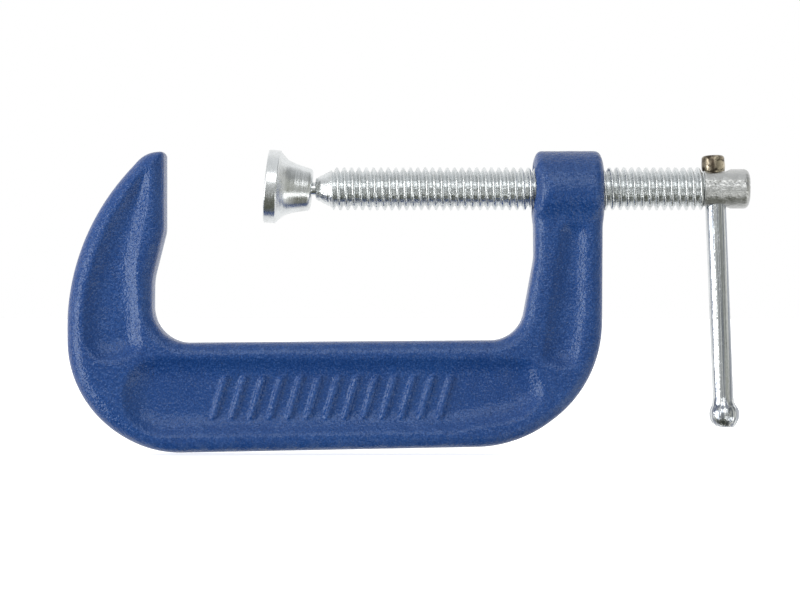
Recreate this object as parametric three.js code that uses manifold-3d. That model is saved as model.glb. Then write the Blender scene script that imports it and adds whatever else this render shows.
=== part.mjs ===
// C clamp of the 75 mm size: a cast frame, a screw spindle with a ball end, a swivel pad
// and a sliding tommy bar. Millimetres, +Z up.
// The spindle's axis is X and the handle end is at +X. The origin is the middle of the
// fixed jaw's face. The clamp is symmetric about the XZ plane, apart from its thread.
import * as THREE from 'three';
import { mergeVertices } from 'three/addons/utils/BufferGeometryUtils.js';
import Module from 'manifold-3d';

const wasm = await Module();
wasm.setup();

// Frame casting.
const RIM_WIDTH = 13;
const WEB_WIDTH = 8.4;
const EDGE_ROUND = 1.2;
const RECESS_SLOPE = 2.1;
const BOSS_LEFT = 90.05;
const BOSS_RIGHT = 107.85;
const BOSS_RADIUS = 9.35;
const BOSS_ROUND = 2;
const BORE_RADIUS = 5.65;
const BORE_CHAMFER = 1;

// Spindle. Its thread is right-handed.
const PITCH = 1.814;
const CREST_RADIUS = 5.3;
const ROOT_RADIUS = 4.15;
const CORE_RADIUS = ROOT_RADIUS - 0.05;
const THREAD_START = 40.6;
const THREAD_TURNS = 51;
const BALL_X = 32.9;
const BALL_RADIUS = 3.2;
const NECK_RADIUS = 1.65;
const CONE_START = 36.9;
const CONE_RADIUS = 2.55;
const CONE_END_RADIUS = 4.65;
const HEAD_START = 131.8;
const HEAD_END = 143.5;
const HEAD_RADIUS = 4.85;
const HEAD_ROUND = 1.2;
const CROSS_HOLE_X = 135.25;
const CROSS_HOLE_RADIUS = 2.9;
const CROSS_HOLE_MOUTH = 3.45;
const CROSS_HOLE_CHAMFER = 0.95;

// Swivel pad, measured along its own axis from the middle of the ball.
const PAD_TILT = THREE.MathUtils.degToRad(5);
const PAD_FACE = -8.25;
const PAD_RADIUS = 9;
const PAD_EDGE = 0.3;
const PAD_RIM_END = -5.45;
const PAD_REAR = 3.1;
const SOCKET_RADIUS = 3.5;
const SOCKET_MOUTH = 2.5;

// Bell of the pad, as [along, radius] from its rim to its rear.
const PAD_BELL = [
  [-4.2, 7.5],
  [-3.2, 6.8],
  [-2, 6.25],
  [-0.6, 5.85],
  [2.3, 5.15],
  [PAD_REAR, 4.35],
];

// Tommy bar, measured along its own axis from the spindle's axis.
const BAR_LEAN = THREE.MathUtils.degToRad(2.2);
const BAR_RADIUS = 2.525;
const BAR_TOP = 4.05;
const BAR_FLARE = 2.9;
const BAR_FLARE_START = -51.8;
const BAR_BALL = -55.6;
const BAR_BALL_RADIUS = 3.7;
const BAR_BOTTOM = -58.8;
const CAP_RADIUS = 2.87;
const CAP_HEIGHT = 4;
const CAP_ROUND = 0.6;

// Clearance between pieces that touch on the real clamp.
const GAP = 0.3;

// Half the number of straight pieces in a fillet arc.
const ARC_STEPS = 3;

// Outlines in the XZ plane: the corners of a polygon, each with its fillet radius.
const FRAME_CORNERS = [
  [0, 9.15, 1.4],
  [-4.8, 8.9, 7.6],
  [-24.5, -11.9, 57],
  [-24.05, -49.4, 27.2],
  [-6.9, -65.15, 28.2],
  [86.3, -63.35, 31],
  [107.15, -48, 30],
  [107.45, 2, 0],
  [90.3, 2, 0],
  [90.5, -17, 12],
  [86.8, -37.2, 8.4],
  [-3.05, -37.9, 8.9],
  [-2.95, -22.3, 18],
  [0, -10.5, 8],
];
const SPINE_RECESS = [
  [-9.9, -41.2, 9.5],
  [-9.9, -61.7, 9.5],
  [72, -60.9, 40],
  [87.5, -57.6, 12],
  [93.9, -51.5, 4.5],
  [89.4, -41.3, 5],
];
const JAW_ARM_RECESS = [
  [-4.6, 7.2, 2.6],
  [-15.6, -9.5, 50],
  [-21, -29, 36],
  [-19.2, -45, 6.5],
  [-5, -40.5, 5],
  [-6.2, -18, 20],
  [-4.4, -3, 20],
];
const SCREW_ARM_RECESS = [
  [95.3, -8.3, 3],
  [91.6, -42.5, 2.6],
  [101.6, -45, 3],
  [104.2, -30, 30],
  [104.4, -8.3, 3],
];

const BLUE = { color: 0x24438f, roughness: 0.5, metalness: 0.1 };
const ZINC = { color: 0xc9ced2, roughness: 0.25, metalness: 1 };
const BROWN = { color: 0x6d5a48, roughness: 0.4, metalness: 0.9 };

// Closed shape of the polygon's sides joined by fillet arcs.
function filletedShape(corners) {
  const shape = new THREE.Shape();
  corners.forEach(([x, z, radius], i) => {
    const corner = new THREE.Vector2(x, z);
    const before = new THREE.Vector2(...corners.at(i - 1).slice(0, 2));
    const after = new THREE.Vector2(...corners[(i + 1) % corners.length].slice(0, 2));
    const back = before.sub(corner).normalize();
    const ahead = after.sub(corner).normalize();
    const half = Math.acos(back.dot(ahead)) / 2;
    const centre = back.clone().add(ahead).setLength(radius / Math.sin(half)).add(corner);
    const start = corner.clone().addScaledVector(back, radius / Math.tan(half));
    const end = corner.clone().addScaledVector(ahead, radius / Math.tan(half));
    const move = i === 0 ? 'moveTo' : 'lineTo';
    shape[move](start.x, start.y);
    if (radius > 0) {
      const from = start.sub(centre).angle();
      const to = end.sub(centre).angle();
      shape.absarc(centre.x, centre.y, radius, from, to, ahead.cross(back) < 0);
    }
  });
  const points = shape.getPoints(ARC_STEPS);
  return new THREE.Shape(points.filter((point, i) => point.distanceTo(points.at(i - 1)) > 1e-6));
}

// Plate of a shape in the XZ plane, centred on y, with its edges bevelled inside the outline.
function plate(corners, width, y, bevel) {
  const geometry = new THREE.ExtrudeGeometry(filletedShape(corners), {
    depth: width - 2 * bevel.depth,
    bevelThickness: bevel.depth,
    bevelSize: bevel.inset,
    bevelOffset: -bevel.inset,
    bevelSegments: bevel.steps,
  });
  geometry.translate(0, 0, bevel.depth - width / 2);
  geometry.rotateX(Math.PI / 2);
  return geometry.translate(0, y, 0);
}

// Body turned about X or Z from a profile of [along, radius] points.
function turned(profile, axis, sides) {
  const points = profile.map(([along, radius]) => new THREE.Vector2(radius, along));
  const geometry = new THREE.LatheGeometry(points, sides);
  if (axis === 'x') {
    return geometry.rotateZ(-Math.PI / 2);
  }
  return geometry.rotateX(Math.PI / 2);
}

// Points of an arc in a profile, from one angle to another in degrees.
function arc(along, radius, size, from, to, steps) {
  return Array.from({ length: steps + 1 }, (_, i) => {
    const angle = THREE.MathUtils.degToRad(from + ((to - from) * i) / steps);
    return [along + size * Math.cos(angle), radius + size * Math.sin(angle)];
  });
}

// Right-handed V thread about X. A crest and a root helix are joined by the two flanks,
// and each end is closed by a fan to a point on the axis.
function thread(start, turns, sides) {
  const steps = turns * sides;
  const positions = [];
  for (let i = 0; i <= steps; i += 1) {
    const angle = (2 * Math.PI * i) / sides;
    const x = start + (PITCH * i) / sides;
    const crest = [x, CREST_RADIUS * Math.cos(angle), CREST_RADIUS * Math.sin(angle)];
    const root = [x + PITCH / 2, ROOT_RADIUS * Math.cos(angle), ROOT_RADIUS * Math.sin(angle)];
    positions.push(...crest, ...root);
  }
  const near = positions.length / 3;
  const far = near + 1;
  positions.push(start + PITCH / 2, 0, 0);
  positions.push(start + PITCH * turns, 0, 0);
  const crestAt = (i) => 2 * i;
  const rootAt = (i) => 2 * i + 1;
  const index = [];
  for (let i = 0; i < steps; i += 1) {
    index.push(crestAt(i), rootAt(i + 1), rootAt(i), crestAt(i), crestAt(i + 1), rootAt(i + 1));
  }
  for (let i = 0; i < steps - sides; i += 1) {
    const next = i + sides;
    index.push(rootAt(i), crestAt(next + 1), crestAt(next));
    index.push(rootAt(i), rootAt(i + 1), crestAt(next + 1));
  }
  for (let i = 0; i < sides; i += 1) {
    const last = steps - sides + i;
    index.push(near, crestAt(i + 1), crestAt(i));
    index.push(far, rootAt(last), rootAt(last + 1));
  }
  index.push(near, rootAt(0), crestAt(sides), near, crestAt(0), rootAt(0));
  index.push(far, crestAt(steps), rootAt(steps - sides));
  index.push(far, rootAt(steps), crestAt(steps));
  const geometry = new THREE.BufferGeometry();
  geometry.setAttribute('position', new THREE.Float32BufferAttribute(positions, 3));
  geometry.setIndex(index);
  return geometry;
}

function solidOf(geometry) {
  const bare = geometry.clone();
  bare.deleteAttribute('normal');
  bare.deleteAttribute('uv');
  const merged = mergeVertices(bare, 1e-5);
  const triangles = [];
  for (let i = 0; i < merged.index.count; i += 3) {
    const [a, b, c] = merged.index.array.subarray(i, i + 3);
    if (a !== b && b !== c && c !== a) {
      triangles.push(a, b, c);
    }
  }
  const vertProperties = new Float32Array(merged.attributes.position.array);
  const triVerts = new Uint32Array(triangles);
  return new wasm.Manifold(new wasm.Mesh({ numProp: 3, vertProperties, triVerts }));
}

function named(name, solid, look) {
  const { vertProperties, triVerts } = solid.getMesh();
  const geometry = new THREE.BufferGeometry();
  geometry.setAttribute('position', new THREE.Float32BufferAttribute(vertProperties, 3));
  geometry.setIndex(Array.from(triVerts));
  const mesh = new THREE.Mesh(geometry, new THREE.MeshStandardMaterial(look));
  mesh.name = name;
  return mesh;
}

function frame() {
  const rim = { depth: EDGE_ROUND, inset: EDGE_ROUND, steps: 2 };
  let casting = solidOf(plate(FRAME_CORNERS, RIM_WIDTH, 0, rim));
  const boss = turned([
    [BOSS_LEFT, 0],
    ...arc(BOSS_LEFT + BOSS_ROUND, BOSS_RADIUS - BOSS_ROUND, BOSS_ROUND, 180, 90, 3),
    ...arc(BOSS_RIGHT - BOSS_ROUND, BOSS_RADIUS - BOSS_ROUND, BOSS_ROUND, 90, 0, 3),
    [BOSS_RIGHT, 0],
  ], 'x', 30);
  casting = casting.add(solidOf(boss));
  const depth = (RIM_WIDTH - WEB_WIDTH) / 2;
  const pocket = { depth, inset: RECESS_SLOPE, steps: 1 };
  const pocketWidth = 3 * depth;
  const pocketMiddle = (WEB_WIDTH + pocketWidth) / 2;
  for (const outline of [SPINE_RECESS, JAW_ARM_RECESS, SCREW_ARM_RECESS]) {
    for (const side of [-1, 1]) {
      casting = casting.subtract(solidOf(plate(outline, pocketWidth, side * pocketMiddle, pocket)));
    }
  }
  const bore = turned([
    [BOSS_LEFT - 1, 0],
    [BOSS_LEFT - 1, BORE_RADIUS + BORE_CHAMFER + 1],
    [BOSS_LEFT + BORE_CHAMFER, BORE_RADIUS],
    [BOSS_RIGHT - BORE_CHAMFER, BORE_RADIUS],
    [BOSS_RIGHT + 1, BORE_RADIUS + BORE_CHAMFER + 1],
    [BOSS_RIGHT + 1, 0],
  ], 'x', 24);
  return casting.subtract(solidOf(bore));
}

function spindle() {
  const core = turned([
    [THREAD_START, 0],
    [THREAD_START, CORE_RADIUS],
    [THREAD_START + 2 * PITCH, CORE_RADIUS],
    [THREAD_START + 2 * PITCH, 0],
  ], 'x', 12);
  const head = turned([
    [HEAD_START, 0],
    [HEAD_START, HEAD_RADIUS],
    ...arc(HEAD_END - HEAD_ROUND, HEAD_RADIUS - HEAD_ROUND, HEAD_ROUND, 90, 0, 3),
    [HEAD_END, 0],
  ], 'x', 28);
  const crossHole = turned([
    [-HEAD_RADIUS - 1, 0],
    [-HEAD_RADIUS - 1, CROSS_HOLE_MOUTH],
    [-HEAD_RADIUS, CROSS_HOLE_MOUTH],
    [CROSS_HOLE_CHAMFER - HEAD_RADIUS, CROSS_HOLE_RADIUS],
    [HEAD_RADIUS - CROSS_HOLE_CHAMFER, CROSS_HOLE_RADIUS],
    [HEAD_RADIUS, CROSS_HOLE_MOUTH],
    [HEAD_RADIUS + 1, CROSS_HOLE_MOUTH],
    [HEAD_RADIUS + 1, 0],
  ], 'z', 28).translate(CROSS_HOLE_X, 0, 0);
  return solidOf(thread(THREAD_START, THREAD_TURNS, 12))
    .add(solidOf(core))
    .add(solidOf(head))
    .subtract(solidOf(crossHole));
}

function spindleTip() {
  return solidOf(turned([
    [CONE_START, 0],
    [CONE_START, CONE_RADIUS],
    [THREAD_START - GAP, CONE_END_RADIUS],
    [THREAD_START - GAP, 0],
  ], 'x', 24));
}

function spindleBall() {
  const neck = THREE.MathUtils.radToDeg(Math.asin(NECK_RADIUS / BALL_RADIUS));
  return solidOf(turned([
    ...arc(BALL_X, 0, BALL_RADIUS, 180, neck, 9),
    [CONE_START - GAP, NECK_RADIUS],
    [CONE_START - GAP, 0],
  ], 'x', 24));
}

function swivelPad() {
  const mouth = THREE.MathUtils.radToDeg(Math.asin(SOCKET_MOUTH / SOCKET_RADIUS));
  const pad = turned([
    [PAD_FACE, 0],
    [PAD_FACE, PAD_RADIUS - PAD_EDGE],
    [PAD_FACE + PAD_EDGE, PAD_RADIUS],
    [PAD_RIM_END - PAD_EDGE, PAD_RADIUS],
    [PAD_RIM_END, PAD_RADIUS - PAD_EDGE],
    ...PAD_BELL,
    [PAD_REAR, SOCKET_MOUTH],
    ...arc(0, 0, SOCKET_RADIUS, mouth, 180, 7),
  ], 'x', 28);
  return solidOf(pad.rotateY(PAD_TILT).translate(BALL_X, 0, 0));
}

function leaning(geometry) {
  return solidOf(geometry.rotateY(-BAR_LEAN).translate(CROSS_HOLE_X, 0, 0));
}

function tommyBar() {
  const flat = THREE.MathUtils.radToDeg(Math.acos((BAR_BALL - BAR_BOTTOM) / BAR_BALL_RADIUS));
  const neck = THREE.MathUtils.radToDeg(Math.asin(BAR_FLARE / BAR_BALL_RADIUS));
  return leaning(turned([
    [BAR_BOTTOM, 0],
    ...arc(BAR_BALL, 0, BAR_BALL_RADIUS, 180 - flat, neck, 8),
    [BAR_FLARE_START, BAR_RADIUS],
    [BAR_TOP, BAR_RADIUS],
    [BAR_TOP, 0],
  ], 'z', 24));
}

function tommyBarCap() {
  const bottom = BAR_TOP + GAP;
  const top = bottom + CAP_HEIGHT;
  return leaning(turned([
    [bottom, 0],
    [bottom, CAP_RADIUS],
    ...arc(top - CAP_ROUND, CAP_RADIUS - CAP_ROUND, CAP_ROUND, 90, 0, 3),
    [top, 0],
  ], 'z', 24));
}

const group = new THREE.Group();
group.add(
  named('frame', frame(), BLUE),
  named('spindle', spindle(), ZINC),
  named('spindle_tip', spindleTip(), ZINC),
  named('spindle_ball', spindleBall(), ZINC),
  named('swivel_pad', swivelPad(), ZINC),
  named('tommy_bar', tommyBar(), ZINC),
  named('tommy_bar_cap', tommyBarCap(), BROWN),
);

export default group;
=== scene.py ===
"""Looks of a 75 mm C clamp: cast frame, plated screw, swivel pad and sliding tommy bar.

Shapes are worked out in millimetres in the row frame and turned into metres as each mesh
is made. The screw's axis is X, up is Z, and the origin is the middle of the fixed jaw's face.
"""

import itertools
import math

import bpy
import numpy as np
from mathutils import Matrix, Vector


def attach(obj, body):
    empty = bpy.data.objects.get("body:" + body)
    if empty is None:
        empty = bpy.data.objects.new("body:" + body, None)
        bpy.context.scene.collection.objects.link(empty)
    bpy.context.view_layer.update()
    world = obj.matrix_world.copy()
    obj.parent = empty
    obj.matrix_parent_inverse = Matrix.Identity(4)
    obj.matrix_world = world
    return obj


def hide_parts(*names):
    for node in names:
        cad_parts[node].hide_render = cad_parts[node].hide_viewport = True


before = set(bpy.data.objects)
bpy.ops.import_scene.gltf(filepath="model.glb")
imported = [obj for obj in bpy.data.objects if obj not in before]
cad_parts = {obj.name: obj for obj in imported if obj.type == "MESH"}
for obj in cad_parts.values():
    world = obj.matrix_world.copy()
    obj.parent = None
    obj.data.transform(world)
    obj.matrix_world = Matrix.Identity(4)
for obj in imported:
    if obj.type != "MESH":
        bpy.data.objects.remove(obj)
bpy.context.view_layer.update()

MM = 0.001
FAR = 1e9
ARC_STEPS = 61

# How a surface's points are brought onto it and spaced, as shares of its grid's step.
PROBE_SHARE = 0.2
LARGEST_MOVE_SHARE = 0.6
LEAST_SLOPE = 0.05
SETTLE_ROUNDS = 3
RELAX_ROUNDS = 2
RELAX_SHARE = 0.5

# Frame casting: its grids, its sides and edges.
CASTING_LOW = (-27, -10, -67)
CASTING_HIGH = (109.5, 10, 11)
CASTING_STEP = 0.5
PLAN_LOW = (-27.5, -67.5)
PLAN_HIGH = (110, 12)
PLAN_STEP = 0.25
RIM_HALF = 6.5
EDGE_ROUND = 3
EDGE_DRAFT = 0.035
BACK_ROUND = 5
BACK_ROUND_REACH = 12
WAVE_HEIGHT = 0.025
# How far in from the outline the enamel's painted rim sheen starts.
SHEEN_INSET = 0.2

# Recesses, and the row of ribs on the spine.
RECESS_SLOPE = 0.82
RECESS_BLUR = 0.5
FLARE_BOTTOM_Z = -10
FLARE_RISE = 14
RIB_COUNT = 13
RIB_FIRST_X = 13.5
RIB_SPACING = 4.6
RIB_MIDDLE_Z = -51.2
RIB_LENGTH = 10.4
RIB_LEAN = 0.3
RIB_HALF_WIDTH = 0.85
RIB_FLANK = 0.9
RIB_HEIGHT = 0.75

# Boss: a drum with chamfered ends, and slanted cuts at its sides towards the pad.
BOSS_MIDDLE = 98.95
BOSS_HALF = 8.9
BOSS_RADIUS = 9.3
BOSS_CHAMFER = 3.2
BOSS_CHAMFER_TURN = math.radians(66)
BOSS_FLAT_X = 94.0
BOSS_FLAT_TURN = math.radians(33)
BOSS_CHEEK_X = 92.9
BOSS_CHEEK_TURN = math.radians(58)
BOSS_ROUND = 0.9
BOSS_BLEND = 1.6
BORE_RADIUS = 5.55
BORE_MOUTH = 1.2
BORE_BLEND = 0.4
BORE_FIELD_SCALE = 0.8

# Screw: its thread and the cone at its tip.
PITCH = 1.814
CREST_RADIUS = 5.3
ROOT_RADIUS = 4.15
ROOT_SHARE = 0.1
FLANK_SHARE = 0.74
FLANK_ROUNDING = 0.65
CONE_START = 36.9
CONE_RADIUS = 2.55
CONE_END = 40.9
CONE_END_RADIUS = 4.65
CONE_RISE = 2
CONE_BLEND = 0.25
THREAD_START = 40.2
THREAD_END = 132.8
RUNOUT_TURNS = 0.6
ROWS_PER_TURN = 14
SCREW_SIDES = 60

# Head, with its cross hole and a forging seam.
HEAD_LOW = (131, -5.5, -5.5)
HEAD_HIGH = (144.6, 5.5, 5.5)
HEAD_STEP = 0.24
HEAD_START = 132.2
HEAD_END = 143.5
HEAD_RADIUS = 4.85
HEAD_START_ROUND = 0.3
HEAD_END_ROUND = 1.25
HEAD_DENTS = 0.03
HEAD_SEAM_TURN = 0.28
HEAD_SEAM_DEPTH = 0.14
HEAD_SEAM_WIDTH = 0.28
CROSS_HOLE_X = 135.25
CROSS_HOLE_RADIUS = 2.72
CROSS_HOLE_BLEND = 0.5
CROSS_HOLE_MOUTH = 1.1
CROSS_HOLE_FLARE = 0.75

# Tip: the collar stands a little proud of the cone's end, and the neck leads to the ball.
NECK_RADIUS = 1.65
COLLAR_PROUD = 0.05
COLLAR_PROFILE = [
    (0, NECK_RADIUS),
    (0, CONE_RADIUS - 0.5),
    (0.12, CONE_RADIUS - 0.12),
    (0.3, CONE_RADIUS),
    (1.2, 3.0),
]
COLLAR_SIDES = 48
BALL_X = 32.9
BALL_RADIUS = 3.2
BALL_SIDES = 40
NECK_OVERLAP = 0.1

# Swivel pad, along the screw from the ball's centre: its face, rim, bell, lip and socket.
PAD_TILT = math.radians(5)
PAD_FACE = -8.25
PAD_FACE_START = 0.3
PAD_FACE_END = 8.6
PAD_FACE_ROUND = 0.35
PAD_RADIUS = 9.0
PAD_RIM_FLAT_END = -5.55
PAD_RIM_END = -5.25
PAD_RIM_ROUND = 0.25
PAD_BELL = [
    (PAD_RIM_END, PAD_RADIUS - PAD_RIM_ROUND),
    (-4.1, 7.58),
    (-3.2, 6.85),
    (-2, 6.3),
    (-0.6, 5.88),
    (2.3, 5.2),
]
PAD_LIP_MIDDLE = (2.1, 4.35)
PAD_LIP_ROUND = 0.85
PAD_LIP = [(3.0, 4.0), (3.02, 3.2), (2.95, 2.8), (2.7, 2.5)]
PAD_SOCKET_RADIUS = 3.45
PAD_SIDES = 96

# Tommy bar and its cap, along the bar from the screw's axis.
BAR_LEAN = math.radians(2.2)
BAR_RADIUS = 2.525
BAR_TOP = 4.2
BAR_SIDES = 56
BAR_BALL_MIDDLE = -55.6
BAR_BALL_RADIUS = 3.7
BAR_BALL_TIP = [(-58.75, 0.2), (-58.78, 1.2), (-58.6, 1.9)]
BAR_SHIFT = 0.17
BAR_SHIFT_START = -52
BAR_SHIFT_REACH = 2.5
BAR_SLANT = 0.1
BAR_SLANT_START = -57
BAR_SLANT_REACH = 2
BAR_NECK = [(-52.6, 2.72), (-51.4, BAR_RADIUS)]
CAP_FOOT = [(3.55, 0.2), (3.55, 2.3)]
CAP_SIDE = [(3.6, 2.45), (4.2, 2.72), (5.4, 2.88), (7.2, 2.8)]
CAP_EDGE_MIDDLE = (7.35, 1.95)
CAP_EDGE_ROUND = 0.85
CAP_TOP = [(8.28, 1.6), (8.33, 0.3)]
CAP_SHIFT = 0.22

# Stage, in metres: the lights are aimed at the clamp's middle, which the camera faces.
CENTRE = Vector((0.0576, 0.0, -0.0274))
CAMERA_Y = -0.567
CAMERA_LENS_MM = 103.5
CAMERA_SENSOR_MM = 36
FLOOR_HALF = 4.0
FLOOR_Z = -65.45 * MM
FLOOR_GLOW = 0.75
# Each softbox: its name, azimuth, elevation, distance, width and height, and brightness.
SOFTBOXES = [
    ("key_softbox", -6, 27, 0.9, (0.85, 0.4), 1.9),
    ("left_softbox", -64, -5, 0.8, (0.38, 0.7), 4.5),
    ("low_softbox", 42, -32, 0.8, (0.95, 0.22), 1.7),
]

# The studio's light by direction, as linear colours.
FRONT_LOW = (0.1, 0.105, 0.08, 1)
FRONT_LEVEL = (0.46, 0.47, 0.465, 1)
RIGHT_LOW = (0.14, 0.145, 0.11, 1)
RIGHT_LEVEL = (0.36, 0.365, 0.33, 1)
RIGHT_SIDE = (0.62, 0.62, 0.59, 1)
OVERHEAD = (0.8, 0.81, 0.82, 1)
UPPER_RIGHT = (0.2, 0.21, 0.21, 1)
WHITE = (1, 1, 1, 1)

# Outlines in the XZ plane: corners of a polygon, each with its fillet radius.
FRAME_CORNERS = [
    (0, 9.15, 1.1),
    (-4.8, 8.9, 7.6),
    (-24.5, -11.9, 57),
    (-24.05, -49.4, 27.2),
    (-6.9, -65.15, 28.2),
    (86.3, -63.35, 31),
    (107.15, -48, 30),
    (107.45, 2, 0.1),
    (90.3, 2, 0.1),
    (90.5, -17, 12),
    (86.8, -37.2, 8.4),
    (-3.05, -37.9, 8.9),
    (-2.95, -22.3, 18),
    (0, -10.5, 8),
]
# Each recess: the width of its dished wall, how much wider that gets at the top, and its outline.
RECESSES = [
    (5.6, 0, [
        (-9.9, -41.6, 9),
        (-9.9, -60.7, 9),
        (72, -59.5, 40),
        (87.5, -56.4, 12),
        (93.9, -51, 4.5),
        (89.4, -41.6, 5),
    ]),
    (5.2, 4, [
        (-3.3, 8, 1.2),
        (-14.9, -9.5, 50),
        (-20.4, -29, 36),
        (-18.8, -44.6, 6.5),
        (-5, -40.5, 5),
        (-6.8, -18, 20),
        (-3.7, -3, 20),
    ]),
    (4.2, 0, [
        (97, -8.6, 2.6),
        (92, -42.5, 2.6),
        (100.8, -44.6, 3),
        (103, -30, 30),
        (103.4, -8.6, 2.6),
    ]),
]


# ---------------------------------------------------------------- outlines

def half_turned(angle):
    """The same angle between minus and plus half a turn."""
    return (angle + math.pi) % (2 * math.pi) - math.pi


def outline_parts(corners):
    """Straight sides and fillet arcs of a polygon, and a polyline along both."""
    points = [np.array(c[:2], float) for c in corners]
    sides, arcs, line, ends = [], [], [], []
    for i, corner in enumerate(points):
        back = points[i - 1] - corner
        ahead = points[(i + 1) % len(points)] - corner
        back /= np.linalg.norm(back)
        ahead /= np.linalg.norm(ahead)
        half = math.acos(back @ ahead) / 2
        radius = corners[i][2]
        reach = radius / math.tan(half)
        middle = back + ahead
        centre = corner + middle / np.linalg.norm(middle) * radius / math.sin(half)
        start, end = corner + back * reach, corner + ahead * reach
        first = math.atan2(*(start - centre)[::-1])
        sweep = half_turned(math.atan2(*(end - centre)[::-1]) - first)
        arcs.append((centre, radius, first + sweep / 2, abs(sweep) / 2))
        angles = first + sweep * np.linspace(0, 1, ARC_STEPS)
        line.append(centre + radius * np.stack([np.cos(angles), np.sin(angles)], 1))
        ends.append((start, end))
    for i, (start, _) in enumerate(ends):
        sides.append((ends[i - 1][1], start))
    return sides, arcs, np.concatenate(line)


def outline_distance(corners, x, z):
    """Distance to a filleted outline, below zero inside it."""
    sides, arcs, line = outline_parts(corners)
    away = np.full(x.shape, FAR)
    for a, b in sides:
        d = b - a
        t = np.clip(((x - a[0]) * d[0] + (z - a[1]) * d[1]) / (d @ d), 0, 1)
        away = np.minimum(away, np.hypot(x - a[0] - t * d[0], z - a[1] - t * d[1]))
    for centre, radius, middle, spread in arcs:
        turn = half_turned(np.arctan2(z - centre[1], x - centre[0]) - middle)
        ring = np.abs(np.hypot(x - centre[0], z - centre[1]) - radius)
        away = np.where(np.abs(turn) <= spread, np.minimum(away, ring), away)
    inside = np.zeros(x.shape, bool)
    for a, b in zip(line, np.roll(line, -1, axis=0)):
        if a[1] == b[1]:
            continue
        spans = (a[1] > z) != (b[1] > z)
        inside ^= spans & (x < a[0] + (z - a[1]) / (b[1] - a[1]) * (b[0] - a[0]))
    return np.where(inside, -away, away)


def smooth_step(t):
    """Rises smoothly from 0 to 1 as t does."""
    t = np.clip(t, 0, 1)
    return t * t * (3 - 2 * t)


def blurred(field, size):
    """Gaussian blur of a plan field, size in grid steps."""
    reach = int(3 * size) + 1
    weights = np.exp(-0.5 * (np.arange(-reach, reach + 1) / size) ** 2)
    weights /= weights.sum()
    for axis in (0, 1):
        margins = [(reach, reach) if a == axis else (0, 0) for a in (0, 1)]
        padded = np.pad(field, margins, "edge")
        field = np.apply_along_axis(np.convolve, axis, padded, weights, "valid")
    return field


class Plan:
    """A grid over the XZ plane, whose fields are read between its points."""

    def __init__(self, low, high, step):
        self.low, self.step = np.array(low, float), step
        counts = np.ceil((np.array(high) - self.low) / step).astype(int) + 1
        self.x, self.z = np.meshgrid(
            self.low[0] + step * np.arange(counts[0]),
            self.low[1] + step * np.arange(counts[1]),
            indexing="ij",
        )

    def read(self, values, x, z):
        """A field's value at any point, from the four grid points round it. A point off the grid
        takes the value just inside the grid's edge."""
        u = np.clip((x - self.low[0]) / self.step, 0, values.shape[0] - 1.001)
        v = np.clip((z - self.low[1]) / self.step, 0, values.shape[1] - 1.001)
        i, j = u.astype(int), v.astype(int)
        u, v = u - i, v - j
        near = values[i, j] * (1 - v) + values[i, j + 1] * v
        far = values[i + 1, j] * (1 - v) + values[i + 1, j + 1] * v
        return near * (1 - u) + far * u


# ---------------------------------------------------------------- solids from fields

def rounded_max(a, b, radius):
    """Intersection of two solids with its outside edge rounded."""
    u, v = a + radius, b + radius
    outside = np.hypot(np.maximum(u, 0), np.maximum(v, 0))
    return np.minimum(np.maximum(u, v), 0) + outside - radius


def soft_min(a, b, width):
    """Union of two solids with a fillet between them."""
    blend = np.maximum(width - np.abs(a - b), 0) / width
    return np.minimum(a, b) - blend * blend * width / 4


def soft_max(a, b, width):
    """Intersection of two solids with a softened edge."""
    return -soft_min(-a, -b, width)


def bevel(out, along, turn):
    """Field of a slanted cut through the place where out and along are zero."""
    return out * math.cos(turn) + along * math.sin(turn)


def gradient(field, points, reach):
    """Slope of a field at points, by differences."""
    found = np.empty_like(points)
    for axis in range(3):
        shift = np.zeros(3)
        shift[axis] = reach
        found[:, axis] = (field(*(points + shift).T) - field(*(points - shift).T)) / (2 * reach)
    return found


def settle(field, points, step, rounds):
    """Moves points onto the surface where the field is zero."""
    for _ in range(rounds):
        slope = gradient(field, points, step * PROBE_SHARE)
        size = np.maximum((slope ** 2).sum(1), LEAST_SLOPE)
        move = -slope * (field(*points.T) / size)[:, None]
        length = np.maximum(np.linalg.norm(move, axis=1, keepdims=True), 1 / FAR)
        points = points + move * np.minimum(1, LARGEST_MOVE_SHARE * step / length)
    return points


def relaxed(field, points, faces, step):
    """Evens out the spacing of a surface's points."""
    edges = np.concatenate([faces[:, [i, (i + 1) % 4]] for i in range(4)])
    degree = np.bincount(edges[:, 0], minlength=len(points))[:, None]
    for _ in range(RELAX_ROUNDS):
        near = np.zeros_like(points)
        for axis in range(3):
            near[:, axis] = np.bincount(edges[:, 0], points[edges[:, 1], axis], len(points))
        points = settle(field, points + RELAX_SHARE * (near / degree - points), step, 1)
    return points


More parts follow.
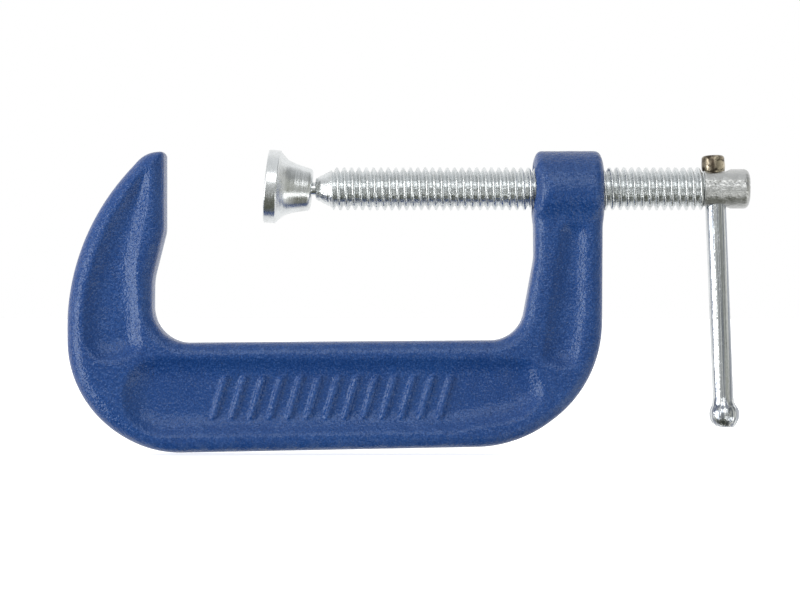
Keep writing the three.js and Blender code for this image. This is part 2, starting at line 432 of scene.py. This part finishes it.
def surface(field, low, high, step):
    """Quad mesh of the surface where the field is zero, as points and faces."""
    low = np.array(low, float)
    counts = np.ceil((np.array(high) - low) / step).astype(int) + 1
    grid = np.meshgrid(*[low[a] + step * np.arange(counts[a]) for a in range(3)], indexing="ij")
    values = field(*grid)
    inside = values < 0
    shape = tuple(counts - 1)
    corners = list(itertools.product((0, 1), repeat=3))

    def inside_at(corner):
        return inside[tuple(slice(c, c + n) for c, n in zip(corner, shape))]

    count = sum(inside_at(c).astype(int) for c in corners)
    cells = np.argwhere((count > 0) & (count < len(corners)))
    number = np.full(shape, -1)
    number[tuple(cells.T)] = np.arange(len(cells))

    # One point for each cell that the surface passes through.
    total, crossings = np.zeros((len(cells), 3)), np.zeros(len(cells))
    for a, b in itertools.combinations(corners, 2):
        if sum(abs(p - q) for p, q in zip(a, b)) != 1:
            continue
        va = values[tuple((cells + a).T)]
        vb = values[tuple((cells + b).T)]
        crossed = (va < 0) != (vb < 0)
        t = np.where(crossed, va / np.where(crossed, va - vb, 1), 0)
        place = np.array(a) + t[:, None] * (np.array(b) - np.array(a))
        total += place * crossed[:, None]
        crossings += crossed
    points = low + step * (cells + total / crossings[:, None])

    # One face for each grid edge that it crosses, through the four cells round that edge.
    faces = []
    for axis in range(3):
        one, two = [a for a in range(3) if a != axis]
        change = inside != np.roll(inside, -1, axis)
        edge = [slice(1, n) for n in counts - 1]
        edge[axis] = slice(0, counts[axis] - 1)
        found = np.argwhere(change[tuple(edge)]) + [0 if a == axis else 1 for a in range(3)]
        ring = []
        for p, q in ((0, 0), (1, 0), (1, 1), (0, 1)):
            cell = found.copy()
            cell[:, one] -= p
            cell[:, two] -= q
            ring.append(number[tuple(cell.T)])
        ring = np.stack(ring, 1)
        flip = inside[tuple(found.T)] ^ (axis == 1)
        faces.append(np.where(flip[:, None], ring, ring[:, ::-1]))
    faces = np.concatenate(faces)
    points = relaxed(field, settle(field, points, step, SETTLE_ROUNDS), faces, step)
    return points, faces.tolist()


# ---------------------------------------------------------------- meshes

def add_object(name, points, faces, material, matrix=None):
    """Mesh object from points in millimetres, smooth shaded."""
    mesh = bpy.data.meshes.new(name)
    mesh.from_pydata((points * MM).tolist(), [], faces)
    mesh.validate()
    mesh.polygons.foreach_set("use_smooth", [True] * len(mesh.polygons))
    mesh.materials.append(material)
    mesh.update()
    piece = bpy.data.objects.new(name, mesh)
    bpy.context.scene.collection.objects.link(piece)
    if matrix is not None:
        piece.matrix_world = matrix
    return piece


def tube_faces(rows, sides):
    """Faces of a tube of rings, with a fan at each end to the two last points."""
    faces = []
    for i in range(rows - 1):
        for j in range(sides):
            k = (j + 1) % sides
            near, far = i * sides, (i + 1) * sides
            faces.append((near + j, near + k, far + k, far + j))
    near, far = rows * sides, rows * sides + 1
    last = (rows - 1) * sides
    for j in range(sides):
        k = (j + 1) % sides
        faces.append((near, k, j))
        faces.append((far, last + j, last + k))
    return faces


def lathe(profile, sides):
    """Body turned about Z from [along, radius] points, closed at both ends."""
    turn = 2 * math.pi * np.arange(sides) / sides
    points = [(r * math.cos(a), r * math.sin(a), s) for s, r in profile for a in turn]
    points.append((0, 0, profile[0][0]))
    points.append((0, 0, profile[-1][0]))
    return np.array(points), tube_faces(len(profile), sides)


def spline(knots, steps):
    """Smooth curve through [along, radius] knots."""
    found = [knots[0]]
    for i in range(len(knots) - 1):
        before, a = knots[max(i - 1, 0)], knots[i]
        b, after = knots[i + 1], knots[min(i + 2, len(knots) - 1)]
        for n in range(1, steps + 1):
            t = n / steps
            point = []
            for p0, p1, p2, p3 in zip(before, a, b, after):
                m1, m2 = (p2 - p0) / 2, (p3 - p1) / 2
                point.append(
                    (2 * t ** 3 - 3 * t ** 2 + 1) * p1 + (t ** 3 - 2 * t ** 2 + t) * m1
                    + (3 * t ** 2 - 2 * t ** 3) * p2 + (t ** 3 - t ** 2) * m2
                )
            found.append(tuple(point))
    return found


def arc(along, radius, size, first, last, steps):
    """Points round a circle of a profile, from one angle in degrees to another."""
    angles = np.radians(np.linspace(first, last, steps + 1))
    return [(along + size * math.cos(a), radius + size * math.sin(a)) for a in angles]


def line(a, b, steps):
    """Points of a straight run of a profile, without the one it starts from."""
    return [(a[0] + (b[0] - a[0]) * i / steps, a[1] + (b[1] - a[1]) * i / steps)
            for i in range(1, steps + 1)]


def along_x(place, tilt=0.0):
    """Matrix that turns local Z to +X, tilts it about Y and puts it at a point on the axis."""
    turn = Matrix.Rotation(tilt, 4, "Y") @ Matrix.Rotation(math.pi / 2, 4, "Y")
    return Matrix.Translation(Vector((place * MM, 0, 0))) @ turn


def along_bar():
    """Matrix that puts local Z along the tommy bar, from the middle of its hole."""
    lean = Matrix.Rotation(-BAR_LEAN, 4, "Y")
    return Matrix.Translation(Vector((CROSS_HOLE_X * MM, 0, 0))) @ lean


# ---------------------------------------------------------------- materials

class Nodes:
    """Short ways to build a node tree."""

    def __init__(self, tree):
        self.tree = tree
        self.tree.nodes.clear()
        self.place = self.add("ShaderNodeTexCoord")

    def add(self, kind):
        return self.tree.nodes.new(kind)

    def link(self, source, target):
        """Links one socket to another, or gives a socket a plain value."""
        if hasattr(source, "is_output"):
            self.tree.links.new(source, target)
        else:
            target.default_value = source

    def noise(self, size_mm, detail=2.0, rough=0.5, stretch=None):
        node = self.add("ShaderNodeTexNoise")
        node.inputs["Scale"].default_value = 1 / (size_mm * MM)
        node.inputs["Detail"].default_value = detail
        node.inputs["Roughness"].default_value = rough
        place = self.place.outputs["Object"]
        if stretch:
            mapping = self.add("ShaderNodeMapping")
            mapping.inputs["Scale"].default_value = stretch
            self.link(place, mapping.inputs["Vector"])
            place = mapping.outputs["Vector"]
        self.link(place, node.inputs["Vector"])
        return node.outputs["Fac"]

    def math(self, kind, *values):
        node = self.add("ShaderNodeMath")
        node.operation = kind
        for i, value in enumerate(values):
            self.link(value, node.inputs[i])
        return node.outputs[0]

    def ramp(self, value, low, high, to_low=0.0, to_high=1.0, kind="LINEAR"):
        """Straight change from to_low to to_high as a value goes from low to high."""
        node = self.add("ShaderNodeMapRange")
        node.interpolation_type = kind
        for key, number in zip(("From Min", "From Max", "To Min", "To Max"),
                               (low, high, to_low, to_high)):
            node.inputs[key].default_value = number
        self.link(value, node.inputs["Value"])
        return node.outputs["Result"]

    def fade(self, value, low, high, to_high=1.0):
        """Smooth rise from zero as a value goes from low to high."""
        return self.ramp(value, low, high, 0.0, to_high, "SMOOTHSTEP")

    def mix(self, share, one, two):
        """Colour between two others."""
        node = self.add("ShaderNodeMix")
        node.data_type = "RGBA"
        self.link(share, node.inputs["Factor"])
        self.link(one, node.inputs[6])
        self.link(two, node.inputs[7])
        return node.outputs[2]


class Finish(Nodes):
    """A material with one shader."""

    def __init__(self, name):
        self.material = bpy.data.materials.new(name)
        self.material.use_nodes = True
        super().__init__(self.material.node_tree)
        self.shader = self.add("ShaderNodeBsdfPrincipled")
        output = self.add("ShaderNodeOutputMaterial")
        self.link(self.shader.outputs["BSDF"], output.inputs["Surface"])

    def attribute(self, name):
        node = self.add("ShaderNodeAttribute")
        node.attribute_name = name
        return node.outputs["Fac"]

    def bump(self, height, depth_mm, below=None):
        """Relief of a given depth, on top of another one if there is one below."""
        node = self.add("ShaderNodeBump")
        node.inputs["Strength"].default_value = 1.0
        node.inputs["Distance"].default_value = depth_mm * MM
        self.link(height, node.inputs["Height"])
        if below is not None:
            self.link(below, node.inputs["Normal"])
        return node.outputs["Normal"]

    def set(self, **values):
        """Sets or links the shader's inputs by name."""
        for key, value in values.items():
            self.link(value, self.shader.inputs[key.replace("_", " ")])


def rgb(red, green, blue):
    """Display colour from 0 to 255 as a linear colour."""
    return (*[((c / 255 + 0.055) / 1.055) ** 2.4 for c in (red, green, blue)], 1.0)


def enamel():
    """Satin blue enamel over sand-cast iron, with random dark specks, pale specks painted as
    glints, and its rims painted paler as a sheen of grazing light.
    """
    n = Finish("blue_enamel")
    cloud = n.noise(18, 2)
    speck_and_glint = n.noise(0.42, 2, 0.7)
    colour = n.mix(n.ramp(cloud, 0.35, 0.65), rgb(17, 61, 127), rgb(23, 67, 133))
    # Pale specks are painted glints that stand in for the sparkle of light on the enamel's grain;
    # the dark specks below are random tone.
    colour = n.mix(n.ramp(speck_and_glint, 0.5, 0.75, 0, 0.55), colour, rgb(84, 118, 180))
    colour = n.mix(n.ramp(speck_and_glint, 0.5, 0.25, 0, 0.5), colour, rgb(10, 40, 92))
    # Painted sheen: the rounded rims are painted paler in patches, as grazing light would catch
    # them.
    edge_sheen = n.ramp(n.noise(2.2, 3, 0.6), 0.35, 0.7, 0, 0.3)
    edge_sheen = n.math("MULTIPLY", n.ramp(n.attribute("edge"), 0.25, 1.0), edge_sheen)
    colour = n.mix(edge_sheen, colour, rgb(90, 112, 156))
    rough = n.ramp(n.noise(1.4, 3), 0.3, 0.7, 0.2, 0.32)
    normal = n.bump(n.noise(4, 1), 0.22)
    normal = n.bump(n.noise(1.3, 1), 0.13, normal)
    normal = n.bump(n.noise(0.62, 1, 0.6), 0.2, normal)
    n.set(Base_Color=colour, Roughness=rough, Normal=normal, Specular_Tint=(0.8, 0.92, 1, 1))
    return n.material


def zinc(name, rough, grain, rings=0.0, pits=0.0, streaks=0.0, tint=(232, 235, 236)):
    """Bright zinc plate, with its relief depths in millimetres. Grain is fine and even, rings are
    turning marks round local Z, pits a coarse rough skin, and streaks lines along local Z."""
    n = Finish(name)
    patch = n.noise(3.5, 3, 0.55)
    colour = n.mix(n.ramp(patch, 0.35, 0.7), rgb(*tint), rgb(*[c * 0.95 for c in tint]))
    dull = n.ramp(n.noise(0.8, 3, 0.6), 0.55, 0.75)
    colour = n.mix(n.math("MULTIPLY", dull, 0.4), colour, rgb(176, 178, 166))
    normal = n.bump(n.noise(0.7, 2), grain)
    if rings:
        marks = n.noise(0.45, 3, 0.7, stretch=(0.02, 0.02, 1))
        normal = n.bump(marks, rings, normal)
    if pits:
        dents = n.noise(0.9, 3, 0.6, stretch=(0.45, 1, 1))
        normal = n.bump(dents, pits, normal)
    if streaks:
        drawn = n.noise(0.7, 2, 0.6, stretch=(1, 1, 0.012))
        normal = n.bump(drawn, streaks, normal)
        colour = n.mix(n.ramp(drawn, 0.44, 0.56), rgb(150, 156, 166), colour)
    gloss = n.ramp(n.noise(1.1, 3, 0.6), 0.3, 0.7, *rough)
    n.set(Base_Color=colour, Metallic=1.0, Roughness=gloss, Normal=normal)
    return n.material


def brown_steel():
    """Heat-tinted steel, in brown and pale blotches."""
    n = Finish("brown_steel")
    blotch = n.noise(3.2, 3, 0.6, stretch=(1, 1, 0.3))
    colour = n.mix(n.ramp(blotch, 0.42, 0.6), rgb(82, 72, 60), rgb(206, 194, 170))
    colour = n.mix(n.ramp(n.noise(1.1, 3), 0.52, 0.66), colour, rgb(70, 62, 52))
    rough = n.ramp(blotch, 0.35, 0.65, 0.38, 0.2)
    normal = n.bump(n.noise(1.5, 3, 0.6), 0.14)
    n.set(Base_Color=colour, Metallic=0.9, Roughness=rough, Normal=normal)
    return n.material


# ---------------------------------------------------------------- frame casting

def sunk_depth(x, z):
    """How far the frame's side lies below its rim: dished recesses, less the spine's ribs."""
    depth = np.zeros(x.shape)
    for wall, flare, corners in RECESSES:
        wall = wall + flare * smooth_step((z - FLARE_BOTTOM_Z) / FLARE_RISE)
        inward = np.clip(-outline_distance(corners, x, z) / wall, 0, 1)
        depth = np.maximum(depth, inward * (2 - inward) * wall * RECESS_SLOPE / 2)
    depth = blurred(depth, RECESS_BLUR / PLAN_STEP)
    above = z - RIB_MIDDLE_Z
    for number in range(RIB_COUNT):
        middle = RIB_FIRST_X + RIB_SPACING * number + RIB_LEAN * above
        across = np.abs(x - middle) - RIB_HALF_WIDTH
        along = np.abs(above) - RIB_LENGTH / 2
        away = rounded_max(across, along, RIB_HALF_WIDTH)
        depth = depth - RIB_HEIGHT * smooth_step(0.5 - away / RIB_FLANK)
    return depth


plan = Plan(PLAN_LOW, PLAN_HIGH, PLAN_STEP)
plan_edge = outline_distance(FRAME_CORNERS, plan.x, plan.z)
plan_sunk = sunk_depth(plan.x, plan.z)


def past_rim(x, y, z):
    """Distances past the frame's drafted outline and past its side, below zero in the iron."""
    side = np.abs(y)
    edge = plan.read(plan_edge, x, z) + EDGE_DRAFT * side
    half = RIM_HALF - plan.read(plan_sunk, x, z)
    return edge, side - half


def cast_waves(x, y, z):
    """Slight unevenness of a sand casting, in millimetres."""
    waves = np.sin(0.55 * x + 1.7 * np.sin(0.31 * z + 0.4) + 0.3 * y)
    waves = waves + np.sin(0.71 * z - 1.3 * np.sin(0.23 * x + 1.1) - 0.4 * y)
    waves = waves + 0.6 * np.sin(1.3 * x + 0.9 * z + 0.8 * y)
    return WAVE_HEIGHT * waves


def edge_round(x):
    """The rim is rounder along the back of the fixed jaw."""
    return EDGE_ROUND + (BACK_ROUND - EDGE_ROUND) * smooth_step(-x / BACK_ROUND_REACH)


def casting(x, y, z):
    """Field of the frame casting, below zero inside the iron."""
    edge, side = past_rim(x, y, z)
    waves = cast_waves(x, y, z)
    body = rounded_max(edge, side + waves, edge_round(x))

    radius = np.hypot(y, z)
    end = np.abs(x - BOSS_MIDDLE) - BOSS_HALF
    past_drum, past_side = radius - BOSS_RADIUS, np.abs(y) - BOSS_RADIUS
    inset = BOSS_CHAMFER / math.tan(BOSS_CHAMFER_TURN)
    chamfer = bevel(past_drum, end + inset, BOSS_CHAMFER_TURN)
    flat = bevel(past_side, BOSS_FLAT_X - x, BOSS_FLAT_TURN)
    cheek = bevel(past_side, BOSS_CHEEK_X - x, BOSS_CHEEK_TURN)
    boss = rounded_max(past_drum, end, BOSS_ROUND)
    boss = rounded_max(boss, np.maximum(np.maximum(chamfer, flat), cheek), BOSS_ROUND)
    body = soft_min(body, boss + 0.5 * waves, BOSS_BLEND)

    mouth = BORE_RADIUS + np.clip(end + BORE_MOUTH, 0, 3 * BORE_MOUTH)
    bore = np.minimum(mouth - radius, 3 * BORE_MOUTH - end) * BORE_FIELD_SCALE
    return soft_max(body, bore, BORE_BLEND)


def add_casting():
    points, faces = surface(casting, CASTING_LOW, CASTING_HIGH, CASTING_STEP)
    piece = add_object("frame_casting", points, faces, enamel())
    # The edge attribute masks the enamel's painted sheen on the rounded rims.
    edge, side = past_rim(*points.T)
    near_edge = np.clip(1 + (edge + SHEEN_INSET) / EDGE_ROUND, 0, 1)
    near_side = np.clip(1 + side / EDGE_ROUND, 0, 1)
    sheen_mask = piece.data.attributes.new("edge", "FLOAT", "POINT")
    sheen_mask.data.foreach_set("value", np.clip(2 * near_edge * near_side, 0, 1).astype(np.float32))
    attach(piece, "frame")
    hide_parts("frame")


# ---------------------------------------------------------------- screw

def thread_height(phase):
    """Rolled thread's height from root, 0, to crest, 1, over one turn."""
    t = 1 - np.abs(2 * (phase % 1) - 1)
    flank = np.clip((t - ROOT_SHARE) / FLANK_SHARE, 0, 1)
    return (1 - FLANK_ROUNDING) * flank + FLANK_ROUNDING * smooth_step(flank)


def screw_radius(x, turn):
    """Radius of the slightly uneven thread, which runs out at the head, and of the cone."""
    height = thread_height((x - THREAD_START) / PITCH - turn / (2 * math.pi))
    uneven = 1 + 0.02 * np.sin(3 * turn + 0.37 * x) + 0.015 * np.sin(5 * turn - 1.9 * x)
    depth = (CREST_RADIUS - ROOT_RADIUS) * height * uneven
    depth = depth * smooth_step((THREAD_END - x) / (RUNOUT_TURNS * PITCH))
    slope = (CONE_END_RADIUS - CONE_RADIUS) / (CONE_END - CONE_START)
    cone = CONE_RADIUS + slope * (x - CONE_START)
    cone = cone + 0.05 * np.sin(7 * turn + 2.3 * x) * np.sin(2 * turn - 2.9 * x)
    cone = cone + np.maximum(x - CONE_END, 0) * CONE_RISE
    return soft_min(ROOT_RADIUS + depth, cone, CONE_BLEND)


def add_screw():
    """The thread and the cone, as one helical surface."""
    along = np.arange(CONE_START, THREAD_END, PITCH / ROWS_PER_TURN)
    turn = 2 * math.pi * np.arange(SCREW_SIDES) / SCREW_SIDES
    x, a = np.meshgrid(along, turn, indexing="ij")
    radius = screw_radius(x, a)
    points = np.stack([radius * np.cos(a), radius * np.sin(a), x], -1).reshape(-1, 3)
    points = np.concatenate([points, [(0, 0, along[0]), (0, 0, along[-1])]])
    faces = tube_faces(len(along), SCREW_SIDES)
    material = zinc("zinc_thread", rough=(0.18, 0.36), grain=0.14)
    piece = add_object("spindle_screw", points, faces, material, along_x(0))
    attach(piece, "spindle")


def head_field(x, y, z):
    """Cross-drilled head, in the row frame."""
    radius = np.hypot(y, z)
    dents = HEAD_DENTS * np.sin(1.9 * x + 1.1 * np.sin(2 * z)) * np.sin(1.3 * y + 0.7 * z)
    seam = HEAD_RADIUS * (np.arctan2(z, -y) - HEAD_SEAM_TURN)
    seam = seam - 0.2 * np.sin(3.1 * x) - 0.12 * np.sin(7.3 * x)
    dents = dents + HEAD_SEAM_DEPTH * np.exp(-(seam / HEAD_SEAM_WIDTH) ** 2)
    body = rounded_max(radius - HEAD_RADIUS, x - HEAD_END, HEAD_END_ROUND)
    body = rounded_max(body, HEAD_START - x, HEAD_START_ROUND) + dents
    across = np.hypot(x - CROSS_HOLE_X, y)
    flare = np.clip(np.abs(z) - HEAD_RADIUS + CROSS_HOLE_MOUTH, 0, 3) * CROSS_HOLE_FLARE
    return soft_max(body, CROSS_HOLE_RADIUS + flare - across, CROSS_HOLE_BLEND)


def add_head():
    points, faces = surface(head_field, HEAD_LOW, HEAD_HIGH, HEAD_STEP)
    material = zinc("zinc_head", rough=(0.28, 0.44), grain=0.05, pits=0.2, tint=(204, 205, 204))
    piece = add_object("spindle_head", points, faces, material)
    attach(piece, "spindle")
    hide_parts("spindle")


def add_tip():
    """The collar between the neck and the cone, which closes the screw's tip."""
    points, faces = lathe(COLLAR_PROFILE, COLLAR_SIDES)
    material = zinc("zinc_tip", rough=(0.14, 0.3), grain=0.1, rings=0.05, pits=0.3)
    matrix = along_x(CONE_START - COLLAR_PROUD)
    piece = add_object("spindle_tip_collar", points, faces, material, matrix)
    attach(piece, "spindle_tip")
    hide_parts("spindle_tip")


def add_ball():
    """The ball in the pad's socket, and the neck from it to the collar."""
    neck = math.degrees(math.asin(NECK_RADIUS / BALL_RADIUS))
    profile = arc(0, 0, BALL_RADIUS, 179, neck, 20)
    profile += line(profile[-1], (CONE_START - BALL_X + NECK_OVERLAP, NECK_RADIUS), 4)
    points, faces = lathe(profile, BALL_SIDES)
    material = zinc("zinc_neck", rough=(0.1, 0.2), grain=0.02, rings=0.02)
    piece = add_object("spindle_ball_end", points, faces, material, along_x(BALL_X))
    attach(piece, "spindle_ball")
    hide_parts("spindle_ball")


def add_pad():
    """The swivel pad, from the middle of its face out over the rim and back into its socket."""
    rounding, rim = PAD_FACE_ROUND, PAD_RIM_ROUND
    profile = line((PAD_FACE, PAD_FACE_START), (PAD_FACE, PAD_FACE_END), 6)
    profile += arc(PAD_FACE + rounding, PAD_RADIUS - rounding, rounding, 180, 90, 4)
    profile += line((PAD_FACE + rounding, PAD_RADIUS), (PAD_RIM_FLAT_END, PAD_RADIUS), 6)
    profile += arc(PAD_RIM_END - rim, PAD_RADIUS - rim, rim, 90, 0, 3)
    profile += spline(PAD_BELL, 6)[1:]
    profile += arc(*PAD_LIP_MIDDLE, PAD_LIP_ROUND, 70, 0, 6)
    profile += PAD_LIP
    profile += arc(0, 0, PAD_SOCKET_RADIUS, 46, 176, 14)
    points, faces = lathe(profile, PAD_SIDES)
    material = zinc("zinc_pad", rough=(0.2, 0.34), grain=0.02, rings=0.045)
    piece = add_object("swivel_pad_bell", points, faces, material, along_x(BALL_X, PAD_TILT))
    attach(piece, "swivel_pad")
    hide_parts("swivel_pad")


def add_bar():
    """The tommy bar, whose formed ball is a little off its axis and slanted at its tip."""
    profile = BAR_BALL_TIP + arc(BAR_BALL_MIDDLE, 0, BAR_BALL_RADIUS, 144, 52, 22)
    profile += spline([profile[-1]] + BAR_NECK, 5)[1:]
    profile += line(BAR_NECK[-1], (BAR_TOP, BAR_RADIUS), 60)
    points, faces = lathe(profile, BAR_SIDES)
    x, _, z = points.T.copy()
    points[:, 0] += BAR_SHIFT * smooth_step((BAR_SHIFT_START - z) / BAR_SHIFT_REACH)
    points[:, 2] -= BAR_SLANT * x * smooth_step((BAR_SLANT_START - z) / BAR_SLANT_REACH)
    material = zinc("zinc_bar", rough=(0.14, 0.28), grain=0.08, streaks=0.12)
    piece = add_object("tommy_bar_rod", points, faces, material, along_bar())
    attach(piece, "tommy_bar")
    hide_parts("tommy_bar")


def add_cap():
    """The tommy bar's end cap, a little off the bar's axis."""
    profile = CAP_FOOT + spline(CAP_SIDE, 5)
    profile += arc(*CAP_EDGE_MIDDLE, CAP_EDGE_ROUND, 85, 5, 8) + CAP_TOP
    points, faces = lathe(profile, BAR_SIDES)
    points = points - (CAP_SHIFT, 0, 0)
    piece = add_object("tommy_bar_end_cap", points, faces, brown_steel(), along_bar())
    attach(piece, "tommy_bar")
    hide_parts("tommy_bar_cap")


# ---------------------------------------------------------------- stage, light and camera

def direction(azimuth, elevation):
    """Unit vector from the clamp; azimuth 0 is towards the camera and 90 to the right."""
    a, e = math.radians(azimuth), math.radians(elevation)
    return Vector((math.sin(a) * math.cos(e), -math.cos(a) * math.cos(e), math.sin(e)))


def add_softbox(name, azimuth, elevation, distance, size, brightness):
    """A rectangular light that faces the clamp and stays out of the camera's view."""
    light = bpy.data.lights.new(name, "AREA")
    light.shape = "RECTANGLE"
    light.size, light.size_y = size
    light.energy = brightness * math.pi * size[0] * size[1]
    lamp = bpy.data.objects.new(name, light)
    bpy.context.scene.collection.objects.link(lamp)
    away = direction(azimuth, elevation)
    lamp.location = CENTRE + away * distance
    lamp.rotation_euler = away.to_track_quat("Z", "Y").to_euler()
    lamp.visible_camera = False


def add_floor():
    """A pale floor that only the camera sees: it is in no reflection and sends back no light."""
    n = Finish("pale_floor")
    n.set(Base_Color=rgb(232, 232, 232), Roughness=0.8)
    n.set(Emission_Color=WHITE, Emission_Strength=FLOOR_GLOW)
    corners = [(x * FLOOR_HALF, y * FLOOR_HALF, FLOOR_Z)
               for x, y in ((-1, -1), (1, -1), (1, 1), (-1, 1))]
    mesh = bpy.data.meshes.new("floor")
    mesh.from_pydata(corners, [], [(0, 1, 2, 3)])
    mesh.materials.append(n.material)
    floor = bpy.data.objects.new("floor", mesh)
    bpy.context.scene.collection.objects.link(floor)
    floor.visible_glossy = False
    floor.visible_diffuse = False
    floor.visible_shadow = False


def add_world():
    """Pale studio: white behind, pale above, dimmer in front and darkest low in front."""
    world = bpy.data.worlds.new("studio")
    bpy.context.scene.world = world
    world.use_nodes = True
    n = Nodes(world.node_tree)
    split = n.add("ShaderNodeSeparateXYZ")
    n.link(n.place.outputs["Generated"], split.inputs[0])
    x, y, z = split.outputs["X"], split.outputs["Y"], split.outputs["Z"]

    front = n.mix(n.fade(z, -0.85, -0.1), FRONT_LOW, FRONT_LEVEL)
    right = n.mix(n.fade(z, -0.8, -0.15), RIGHT_LOW, RIGHT_LEVEL)
    right = n.mix(n.fade(y, -0.7, -0.25), right, RIGHT_SIDE)
    front = n.mix(n.fade(x, 0.15, 0.6), front, right)
    front = n.mix(n.fade(z, 0.35, 0.95), front, OVERHEAD)
    corner = n.math("MULTIPLY", n.fade(x, 0.15, 0.5), n.fade(z, 0.25, 0.5, 0.75))
    front = n.mix(corner, front, UPPER_RIGHT)
    sky = n.mix(n.fade(y, 0, 0.5), front, WHITE)

    # The camera sees plain white, and the sky only lights the clamp.
    light, seen = n.add("ShaderNodeBackground"), n.add("ShaderNodeBackground")
    n.link(sky, light.inputs["Color"])
    n.link(WHITE, seen.inputs["Color"])
    path, both = n.add("ShaderNodeLightPath"), n.add("ShaderNodeMixShader")
    n.link(path.outputs["Is Camera Ray"], both.inputs[0])
    n.link(light.outputs[0], both.inputs[1])
    n.link(seen.outputs[0], both.inputs[2])
    output = n.add("ShaderNodeOutputWorld")
    n.link(both.outputs[0], output.inputs["Surface"])


def add_camera():
    data = bpy.data.cameras.new("camera")
    data.lens, data.sensor_width = CAMERA_LENS_MM, CAMERA_SENSOR_MM
    data.clip_start, data.clip_end = 0.05, 20
    camera = bpy.data.objects.new("camera", data)
    bpy.context.scene.collection.objects.link(camera)
    camera.location = (CENTRE.x, CAMERA_Y, CENTRE.z)
    camera.rotation_euler = (math.pi / 2, 0, 0)
    bpy.context.scene.camera = camera


add_casting()
add_screw()
add_head()
add_tip()
add_ball()
add_pad()
add_bar()
add_cap()
add_floor()
add_world()
for softbox in SOFTBOXES:
    add_softbox(*softbox)
add_camera()
bpy.context.scene.view_settings.view_transform = "Standard"
